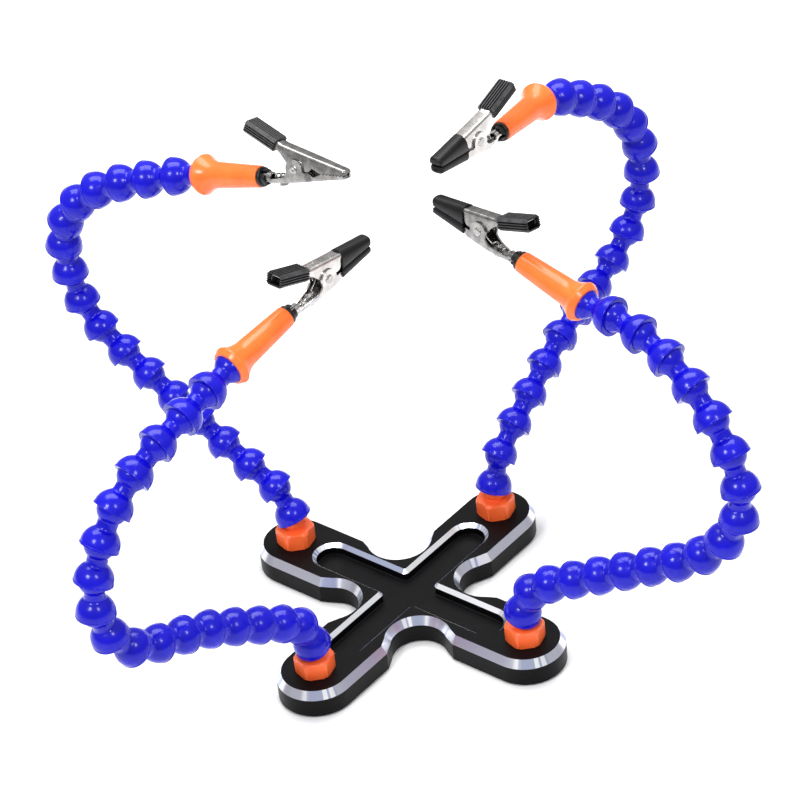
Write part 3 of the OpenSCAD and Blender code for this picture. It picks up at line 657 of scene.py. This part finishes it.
def lower_jaw_shape(arm):
    out = rivet_out(arm)
    tail_x = TAIL_OUT - out
    line = [(tail_x - 1, -4.6), (-7, -3.6), (-5.2, -2.9), (-4, -1.7), (0, 0),
            (MEET_FROM, meet_z(MEET_FROM) - TOOTH_GAP / 2)] \
        + jaw_edge(-TOOTH_GAP / 2, -THROAT_H)[1:]
    plan = [(tail_x - 1, TAIL_R), (tail_x, TAIL_R), (EARS_BACK, CLIP_HALF), (NARROW_FROM, CLIP_HALF),
            (NARROW_TO, UPPER_HALF), (JAW_LEN, TIP_HALF)]
    ear = [EAR_R * cos(pi * k / 32) for k in range(32, -1, -1)]
    stations = spaced(tail_x - 1, -EAR_R - 0.05, 0.5) + ear[1:-1] + spaced(EAR_R + 0.05, TEETH_FROM, 0.25) \
        + spaced(TEETH_FROM, JAW_LEN, 0.2)[1:]
    rows = []
    for x in stations:
        edge = between(x, line)
        if abs(x) < EAR_R:
            edge = max(edge, sqrt(EAR_R ** 2 - x * x))
        drop = nose_drop(x, JAW_LEN, 1.4)
        half = between(x, plan) - 0.8 * drop
        rows.append(channel(x, half, floor_z(x) + 0.5 * drop, edge))
    tail = filleted([(TAIL_R - SHEET, 0, 0.1), (TAIL_R, 0, 0.15), (TAIL_R, TAIL_IN + TAIL_OUT, 0.15),
                     (TAIL_R - SHEET, TAIL_IN + TAIL_OUT, 0.1)], 2)
    points, faces = lathe(tail, 40)
    tube = [(z - out - TAIL_IN, y, x - PIVOT_Z) for x, y, z in points], faces
    nose = nose_wall(JAW_LEN, TIP_HALF - 0.5, floor_z(JAW_LEN) + 0.4, meet_z(JAW_LEN) - 0.3)
    return mesh(f"lower_jaw_{arm}", [skin(rows, (True, True)), tube, nose], sharp=40)


def bent(p):
    """Where a point of the straight handle goes when the handle is bent up."""
    dx, dz = p[0] - BEND_X, p[2] - TOP_W
    return (BEND_X + dx * cos(HANDLE_BEND) + dz * sin(HANDLE_BEND), p[1],
            TOP_W - dx * sin(HANDLE_BEND) + dz * cos(HANDLE_BEND))


def upper_jaw_shape(arm):
    edge_line = [(HANDLE_BACK, HANDLE_LOW), (HEEL, HANDLE_LOW), (-3, 0)] \
        + [to_upper(x, z) for x, z in jaw_edge(TOOTH_GAP / 2, THROAT_H)]
    tip = edge_line[-1][0]
    plan = [(HANDLE_BACK, UPPER_HALF), (NARROW_TO, UPPER_HALF), (JAW_LEN, TIP_HALF)]
    ear = [UPPER_EAR_R * cos(pi * k / 28) for k in range(28, -1, -1)]
    stations = spaced(HANDLE_BACK, -UPPER_EAR_R - 0.05, 0.5) + ear[1:-1] \
        + spaced(UPPER_EAR_R + 0.05, 11.5, 0.25) + spaced(11.5, tip, 0.2)[1:]
    rows = []
    for x in stations:
        edge = between(x, edge_line)
        if abs(x) < UPPER_EAR_R:
            edge = min(edge, -sqrt(UPPER_EAR_R ** 2 - x * x))
        drop = nose_drop(x, tip, 1.6)
        row = channel(x, between(x, plan) - 0.8 * drop, TOP_W - 0.7 * drop, edge, 1.2)
        rows.append([bent(p) for p in row] if x < BEND_X else row)
    nose = nose_wall(tip, TIP_HALF - 0.5, TOP_W - 0.6, edge_line[-1][1] + 0.2)
    return mesh(f"upper_jaw_{arm}", [skin(rows, (True, True)), nose], sharp=40)


def across(part):
    """Turns a part drawn along Z to lie along Y."""
    points, faces = part
    return [(x, -z, y) for x, y, z in points], faces


def rivet_shape():
    """A pin across the ears with a low domed head on each end."""
    half = CLIP_HALF + 0.02
    head = [(1.8, half), (1.75, half + 0.2), (1.5, half + 0.38), (1.0, half + 0.48), (0.5, half + 0.42),
            (0.2, half + 0.38), (0, half + 0.38)]
    profile = [(r, z) for r, z in head[::-1]] + [(1, half), (1, -half)] + [(r, -z) for r, z in head]
    rows = [[(r * cos(TAU * k / 32), r * sin(TAU * k / 32), z) for k in range(32)] for r, z in profile]
    return mesh("rivet", [across(skin(rows))])


def tube(path, r, sides=12):
    """A round wire along a path, with round ends."""
    path = [Vector(p) for p in path]
    side = None
    rows = []
    for i, p in enumerate(path):
        way = (path[min(i + 1, len(path) - 1)] - path[max(i - 1, 0)]).normalized()
        side = (side - way * side.dot(way) if side else way.orthogonal()).normalized()
        other = way.cross(side)
        ring = r * (0.6 if i in (0, len(path) - 1) else 1)
        rows.append([tuple(p + (side * cos(TAU * k / sides) + other * sin(TAU * k / sides)) * ring)
                     for k in range(sides)])
    return skin(rows, (True, True))


def spring_shape(arm):
    """The coil round the rivet and its lower leg, which ends in a few loose curls by the tail."""
    per_turn, per_curl, curl_z, curl_r = 24, 18, -3.5, 0.95
    steps, curl_steps = per_turn * TURNS, per_curl * 3
    coil = [(-COIL_R * cos(TAU * k / per_turn), -SPRING_HALF + 2 * SPRING_HALF * k / steps,
             COIL_R * sin(TAU * k / per_turn)) for k in range(steps + 1)]
    end_x = TAIL_OUT - rivet_out(arm) + 0.8
    leg = [(-1.9, 1.7, -0.8), (-3.4, 1.5, -2.0), (-5.6, 1.2, -3.1)]
    start = leg[-1][0] - 0.4
    curls = [(start + (end_x - start) * k / curl_steps, cos(TAU * k / per_curl),
              curl_z + curl_r * sin(TAU * k / per_curl)) for k in range(curl_steps + 1)]
    return mesh(f"spring_{arm}", [tube(coil + leg + curls, WIRE_R)], sharp=60)


def spring_leg_shape():
    """The spring's other leg, which lies under the handle and moves with it."""
    path = [(-1.2, -1.7, 1.3), (-2.0, -1.6, 2.2), (-4.2, -1.4, 3.6), (-7.5, -1.2, TOP_W - 2.2),
            bent((-10.5, -1.1, TOP_W - SHEET - WIRE_R))]
    return mesh("spring_leg", [tube(path, WIRE_R)], sharp=60)


def sleeve_shape():
    """A boxy ribbed sleeve, hollow behind the handle, before the handle is bent."""
    back, front, half, low, high = -26.4, -10.4, 4.1, 2.8, 8.3
    cut = 1.2
    groove = 0.6

    def ribbed(a, b, ribs, steps):
        """Shares of the way along a side, with how deep each is cut."""
        return [(a + (b - a) * k / steps, groove * (0.5 - 0.5 * cos(TAU * ribs * k / steps)) ** 1.6)
                for k in range(steps + 1)]

    top, right, left = (ribbed(-half + cut, half - cut, 5, 60), ribbed(high - cut, low + cut, 3, 40),
                        ribbed(low + cut, high - cut, 3, 40))
    below = [(y, low) for y in spaced(half - cut, -half + cut, 1)]
    outline = [(y, high - d) for y, d in top] + [(half - d, z) for z, d in right] + below \
        + [(-half + d, z) for z, d in left]
    depths = [d for _, d in top + right] + [groove] * len(below) + [d for _, d in left]
    middle = (low + high) / 2

    def ring(x, shrink):
        return [(x, y * (1 - shrink / half), middle + (z - middle) * (1 - shrink / (high - middle)))
                for y, z in outline]

    def hole(x, w, z0, z1):
        return [(x, min(max(y, -w), w), min(max(z, z0), z1)) for y, z in outline]

    inside = (UPPER_HALF + 0.05, HANDLE_LOW - 0.1, TOP_W + 0.05)
    mouth = (UPPER_HALF + 0.2, low + 0.9, TOP_W + 0.1)
    rows = [hole(front - 0.4, *inside), hole(front, *inside), ring(front, 0.45), ring(front - 0.15, 0.15),
            ring(front - 0.45, 0)]
    rows += [ring(x, 0) for x in spaced(front - 1.2, back + 0.5, 1.5)]
    rows += [ring(back + 0.12, 0.12), ring(back, 0.4), hole(back, *mouth), hole(back + 4, *mouth),
             hole(back + 4.2, *inside), hole(front - 0.4, *inside)]
    points, faces = skin(rows)
    # The tops of the ribs are painted paler, as a painted highlight
    rib_tops_highlit = [depths[i % len(outline)] < 0.1 * groove for i in range(len(faces))]
    ribs = [face for face, pale in zip(faces, rib_tops_highlit) if pale]
    rest = [face for face, pale in zip(faces, rib_tops_highlit) if not pale]
    return mesh("sleeve", [(points, rest, 0), (points, ribs, 1)], sharp=35)


def cover_half(x):
    narrowing = (UPPER_HALF - TIP_HALF) / (JAW_LEN - NARROW_TO)
    return UPPER_HALF - narrowing * (x - NARROW_TO) + COVER_T


def cover_section(half, flat, crown, power):
    """A D-shaped outline: flat on the side where the jaws meet, domed on the other."""
    height = crown - flat
    foot = 0.35 * abs(height)
    turns = [pi * k / 32 for k in range(33)]
    dome = []
    for t in turns:
        y = half * abs(cos(t)) ** (2 / power) * (1 if cos(t) >= 0 else -1)
        z = flat + (foot + (abs(height) - foot) * sin(t) ** (2 / power)) * (1 if height > 0 else -1)
        dome.append((y, z))
    s = 1 if height > 0 else -1
    left, right = (-half * 0.97, flat + s * 0.25), (half * 0.97, flat + s * 0.25)
    return [(half * 0.9, flat), right] + dome + [left, (-half * 0.9, flat)] \
        + [(y, flat) for y in spaced(-half * 0.8, half * 0.8, half * 0.4)]


def cover_sock(flat_at, crown_at, power, start):
    """A rubber cover from its open end at start to its blunt closed nose."""
    end = JAW_LEN + COVER_NOSE
    wall, nose = 0.7, 1.3

    def section(x, grow):
        here = min(x, end)
        flat, crown = flat_at(here), crown_at(here)
        middle = (flat + crown) / 2
        outline = cover_section(cover_half(here), flat, crown, power)
        height = abs(crown - flat) / 2
        sy, sz = 1 + grow / cover_half(here), 1 + grow / height
        return [(x, y * sy, middle + (z - middle) * sz) for y, z in outline]

    rows = [section(end, -2.2), section(end, -1.2)]
    rows += [section(end - nose + nose * cos(t), -1.2 * (1 - sin(t))) for t in spaced(0.3, pi / 2, 0.3)]
    rows += [section(x, 0) for x in spaced(end - nose - 0.4, start + 0.4, 0.8)]
    rows += [section(start + 0.1, 0.02), section(start, -0.12), section(start, -wall + 0.1)]
    rows += [section(x, -wall) for x in spaced(start + 0.1, end - nose, 2)]
    rows.append(section(end - nose, -2))
    return skin(rows, (True, True))


FACE_TILT = COVER_OPEN / 2 - radians(0.25)


def face_point(x, side):
    """A point where the covers' flat faces meet, seen from the clip's or the open jaw's frame."""
    return (x * cos(FACE_TILT) - side * meet_z(x) * sin(FACE_TILT),
            side * x * sin(FACE_TILT) + meet_z(x) * cos(FACE_TILT))


def lower_cover_shape():
    line = [face_point(x, 1) for x in spaced(6, JAW_LEN + 3, 1)]

    def flat(x):
        # The soft face is slightly wavy
        return between(x, line) - 0.12 - 0.1 * sin(1.6 * x) ** 2

    return mesh("lower_cover", [cover_sock(flat, lambda x: floor_z(x) - COVER_T, 2.6, COVER_BACK)], sharp=50)


def upper_cover_shape():
    line = [to_upper(*face_point(x, -1)) for x in spaced(5, JAW_LEN + 4, 1)]

    def flat(x):
        return between(x, line) + 0.1

    return mesh("upper_cover", [cover_sock(flat, lambda x: TOP_W + COVER_T, 2.4, COVER_BACK)], sharp=50)


def clips():
    nozzle, bush, rivet, sleeve = nozzle_shape(), bush_shape(), rivet_shape(), sleeve_shape()
    covers = lower_cover_shape(), upper_cover_shape()
    hinge = Matrix.Translation(Vector((BEND_X, 0, TOP_W)) * MM)
    bend = hinge @ Matrix.Rotation(HANDLE_BEND, 4, "Y") @ hinge.inverted()
    leg = spring_leg_shape()
    for arm in ARMS:
        clip, jaw, tip = f"clip_{arm}", f"jaw_{arm}", f"nozzle_{arm}_body"
        at_nozzle, at_clip, at_upper = nozzle_frame(arm), clip_frame(arm), upper_frame(arm)
        # Clips a and d get the darker copy: painted shade on sides that face away from the light
        plating = NICKEL_PAINTED_SHADE if arm in "ad" else NICKEL
        add(f"nozzle_{arm}_moulded", nozzle, [NOZZLE_ORANGE], tip, [f"nozzle_{arm}"],
            at_nozzle)
        add(f"bush_{arm}_rubber", bush, [BUSH_BLACK], tip, [f"bush_{arm}"], at_nozzle)
        add(f"lower_jaw_{arm}_pressed", lower_jaw_shape(arm), [plating], clip,
            [f"lower_jaw_{arm}"], at_clip, 0.1)
        add(f"upper_jaw_{arm}_pressed", upper_jaw_shape(arm), [plating], jaw,
            [f"upper_jaw_{arm}"], at_upper, 0.1)
        add(f"rivet_{arm}_domed", rivet, [RIVET_STEEL], clip, [f"jaw_rivet_{arm}"], at_clip)
        add(f"spring_{arm}_coil", spring_shape(arm), [SPRING_STEEL], clip,
            [f"jaw_spring_{arm}"], at_clip)
        add(f"spring_{arm}_leg", leg, [SPRING_STEEL], jaw, (), at_upper)
        add(f"sleeve_{arm}_ribbed", sleeve, [SLEEVE_PVC, PVC_PAINTED_HIGHLIGHT], jaw,
            [f"handle_sleeve_{arm}"], at_upper @ bend)
        screw = frame["nodes"][f"wire_screw_{arm}"]
        screw.data.materials.clear()
        screw.data.materials.append(RIVET_STEEL)
        soften(screw, 0.12)
        if arm in COVERED:
            add(f"lower_cover_{arm}_rubber", covers[0], [COVER_RUBBER], clip,
                [f"lower_cover_{arm}"], at_clip)
            add(f"upper_cover_{arm}_rubber", covers[1], [COVER_RUBBER], jaw,
                [f"upper_cover_{arm}"], at_upper)


# ---- Stage ---------------------------------------------------------------------------------

def stage_floor():
    """A wide pale sheet with the faintest mottling."""
    bm = bmesh.new()
    bmesh.ops.create_grid(bm, x_segments=8, y_segments=8, size=6)
    shape = bpy.data.meshes.new("floor")
    bm.to_mesh(shape)
    bm.free()
    shape.materials.append(finish("floor_white", linear(240, 240, 240), linear(243, 243, 243),
                                  (0.75, 0.85), 0.002, 0.3, 0.001, specular=0.1))
    sheet = bpy.data.objects.new("floor", shape)
    sheet.location.z = -0.2 * MM
    bpy.context.scene.collection.objects.link(sheet)


def softbox(name, place, target, size, watts):
    light = bpy.data.lights.new(name, "AREA")
    light.shape = "RECTANGLE"
    light.size, light.size_y = size
    light.energy = watts
    lamp = bpy.data.objects.new(name, light)
    lamp.location = place
    lamp.rotation_euler = (Vector(target) - Vector(place)).to_track_quat("-Z", "Y").to_euler()
    bpy.context.scene.collection.objects.link(lamp)


def studio():
    world = bpy.data.worlds.new("studio")
    world.use_nodes = True
    nodes, links = world.node_tree.nodes, world.node_tree.links
    height = nodes.new("ShaderNodeSeparateXYZ")
    links.new(nodes.new("ShaderNodeTexCoord").outputs["Generated"], height.inputs["Vector"])
    # Dim near the horizon, bright overhead
    links.new(spread(nodes, links, height.outputs["Z"], 0.36, 0.8, 0, 0.7),
              nodes["Background"].inputs["Strength"])
    nodes["Background"].inputs["Color"].default_value = (1, 1, 1, 1)
    bpy.context.scene.world = world
    middle = (0, 0, 0.1)
    softbox("key_left", (-0.9, -0.9, 1.5), middle, (0.45, 0.45), 16)
    softbox("key_right", (0.5, -1.2, 1.5), middle, (0.3, 0.5), 9)
    softbox("top", (0, 0.6, 1.7), middle, (1.6, 0.9), 30)
    bpy.context.scene.view_settings.view_transform = "Standard"


def camera():
    """The photograph's viewpoint, as a turn round the object and a small offset in the picture."""
    turn, rise, roll, distance, focal_length = -0.0469, 0.6193, -0.1174, 1.4225, 151.57
    offset = Vector((-0.00467, 0.0888))
    back = Vector((sin(turn) * cos(rise), -cos(turn) * cos(rise), sin(rise)))
    right = Vector((cos(turn), sin(turn), 0))
    up = back.cross(right)
    x = cos(roll) * right + sin(roll) * up
    y = cos(roll) * up - sin(roll) * right
    lens = bpy.data.cameras.new("camera")
    lens.sensor_width = 36
    lens.lens = focal_length
    eye = bpy.data.objects.new("camera", lens)
    eye.matrix_world = frame_at(back * distance + x * offset.x + y * offset.y, x, y, back)
    bpy.context.scene.collection.objects.link(eye)
    bpy.context.scene.camera = eye


base_plate()
base_pad()
connectors()
link_mesh = link_shape()
for arm_name in ARMS:
    hose(arm_name, link_mesh)
clips()
stage_floor()
studio()
camera()
